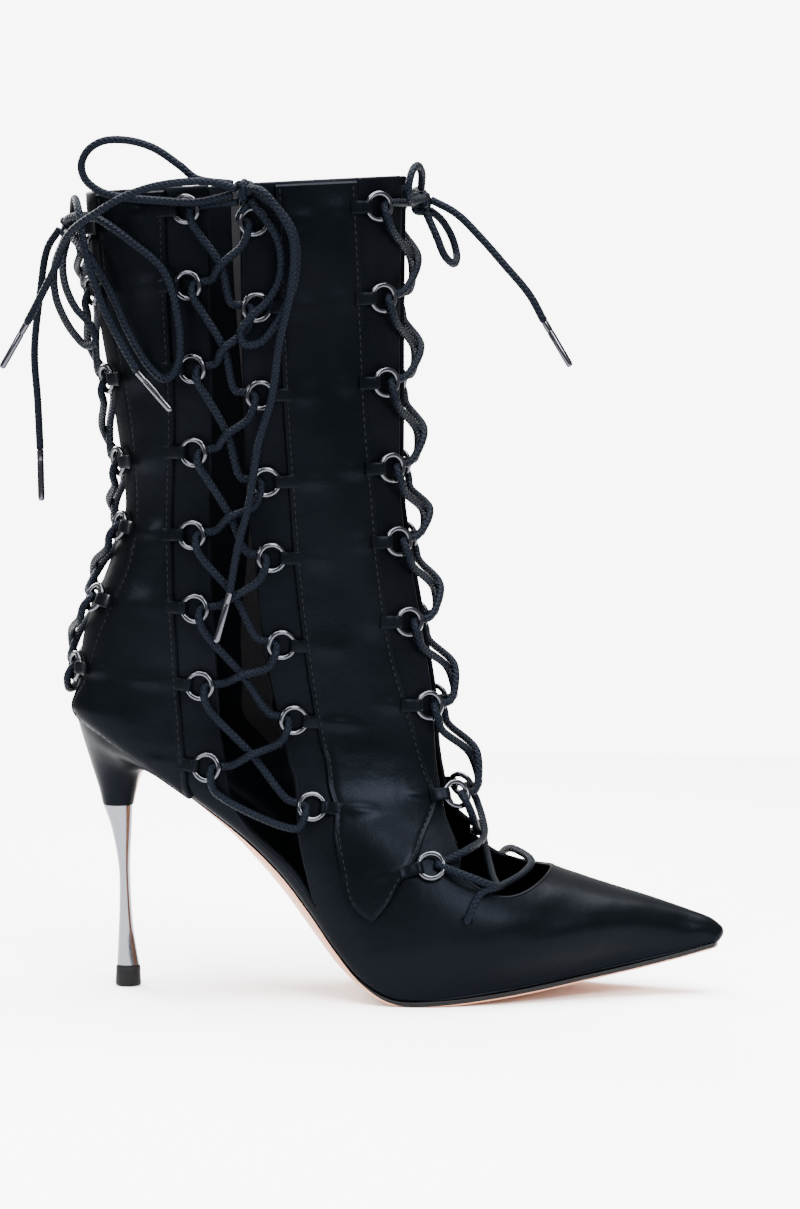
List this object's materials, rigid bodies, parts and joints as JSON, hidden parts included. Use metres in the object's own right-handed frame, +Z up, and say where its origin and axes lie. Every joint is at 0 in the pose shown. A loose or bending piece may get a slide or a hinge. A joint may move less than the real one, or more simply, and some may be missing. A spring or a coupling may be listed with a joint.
{
  "type": "lace up ankle boot",
  "caption": "Black leather stiletto ankle boot, right foot, laced through rings up the back, outer side and front, with a pointed toe and a metal pin heel.",
  "frame": {"origin": "middle of the heel tip's floor face", "axes": "+X to the toe, -Y to the outer (lateral) side, +Z up; the boot stands on its heel tip and the ball of its sole"},
  "size_m": [0.2634, 0.0869, 0.3146],
  "materials": {
    "black_leather": "smooth, soft sheen",
    "nude_sole": "nude polished leather",
    "insole_lining": "matt lining",
    "chrome": "polished",
    "ring_metal": "polished dark metal",
    "black_rubber": "matt",
    "zip_tape": "woven tape with metal teeth",
    "black_cord": "waxed round braid"
  },
  "bodies": {
    "boot": {"back_lace_inner_aglet": "ring_metal", "back_lace_inner_end": "black_cord", "back_lace_inner_loop": "black_cord", "back_lace_knot": "black_cord", "back_lace_outer_aglet": "ring_metal", "back_lace_outer_end": "black_cord", "back_lace_outer_loop": "black_cord", "front_lace_inner_aglet": "ring_metal", "front_lace_inner_end": "black_cord", "front_lace_knot": "black_cord", "front_lace_lower_loop": "black_cord", "front_lace_outer_aglet": "ring_metal", "front_lace_outer_end": "black_cord", "front_lace_upper_loop": "black_cord", "front_leaf_inner": "black_leather", "front_leaf_outer": "black_leather", "heel_block": "black_leather", "heel_pin": "chrome", "insole": "insole_lining", "lace_back_crossings": "black_cord", "lace_front_crossings": "black_cord", "lace_side_crossings": "black_cord", "outsole": "nude_sole", "quarter_inner": "black_leather", "quarter_outer": "black_leather", "rings_back_inner": "ring_metal", "rings_back_outer": "ring_metal", "rings_front_inner": "ring_metal", "rings_front_outer": "ring_metal", "rings_side_front": "ring_metal", "rings_side_rear": "ring_metal", "side_lace_front_aglet": "ring_metal", "side_lace_front_end": "black_cord", "side_lace_front_loop": "black_cord", "side_lace_knot": "black_cord", "side_lace_rear_aglet": "ring_metal", "side_lace_rear_end": "black_cord", "side_lace_rear_loop": "black_cord", "top_piece": "black_rubber", "upper": "black_leather", "zip_slider": "chrome", "zip_tape": "zip_tape"},
    "zip_pull_body": {"zip_pull": "chrome"}
  },
  "joints": [
    {"name": "zip_pull_swing", "type": "hinge", "parent": "boot", "child": "zip_pull_body", "pos_m": [0.04127, 0.03897, 0.28798], "axis": [1, 0, 0], "range_deg": [0, 150]}
  ]
}
